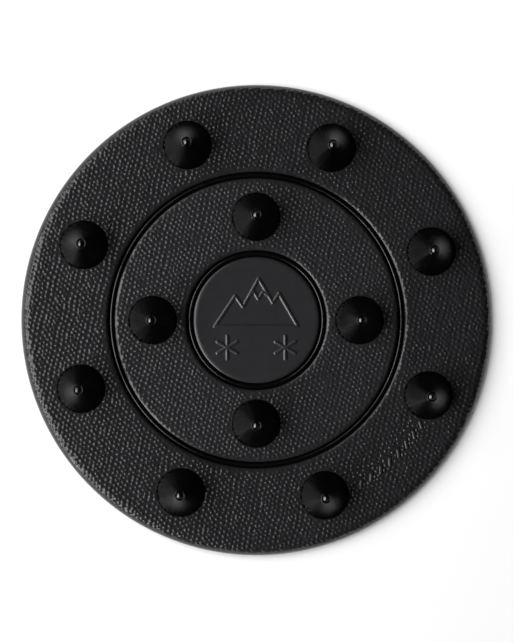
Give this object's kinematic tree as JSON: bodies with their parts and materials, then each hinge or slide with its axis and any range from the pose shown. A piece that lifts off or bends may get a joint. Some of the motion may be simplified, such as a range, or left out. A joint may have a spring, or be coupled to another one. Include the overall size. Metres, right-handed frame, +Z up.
{
  "type": "snowboard stomp pad",
  "caption": "Round black rubber traction pad with raised cone spikes, two ringed grooves, a pebble-grained surface and a smooth centre badge on adhesive foam tape.",
  "frame": {"origin": "centre of the underside of the release liner, on the disc's axis", "axes": "+Z up along the disc's axis, out of the spiked face; +X towards the first inner spike, with the row of raised chevrons in the +X -Y quarter"},
  "size_m": [0.1208, 0.1208, 0.0132],
  "materials": {
    "grained_rubber": "pebble-grained, satin black",
    "matt_rubber": "smooth, matt black",
    "gloss_rubber": "smooth, glossy black",
    "badge_rubber": "smooth, matt black with raised relief",
    "spike_plastic": "smooth, satin black",
    "tape_foam": "closed-cell foam tape, mid grey, matt",
    "liner_paper": "siliconised kraft release paper, pale, slight sheen"
  },
  "bodies": {
    "liner": {"release_liner": "liner_paper"},
    "pad": {"adhesive_layer": "tape_foam", "base_plate": "matt_rubber", "outer_grip_ring": "grained_rubber", "inner_grip_ring": "grained_rubber", "outer_bead_ring": "gloss_rubber", "inner_bead_ring": "gloss_rubber", "centre_badge": "badge_rubber", "inner_spike_1": "spike_plastic", "inner_spike_2": "spike_plastic", "inner_spike_3": "spike_plastic", "inner_spike_4": "spike_plastic", "outer_spike_1": "spike_plastic", "outer_spike_2": "spike_plastic", "outer_spike_3": "spike_plastic", "outer_spike_4": "spike_plastic", "outer_spike_5": "spike_plastic", "outer_spike_6": "spike_plastic", "outer_spike_7": "spike_plastic", "outer_spike_8": "spike_plastic"}
  },
  "joints": [
    {"name": "pad_lift", "type": "slide", "parent": "liner", "child": "pad", "axis": [0, 0, 1], "range_m": [0, 0.03]}
  ]
}
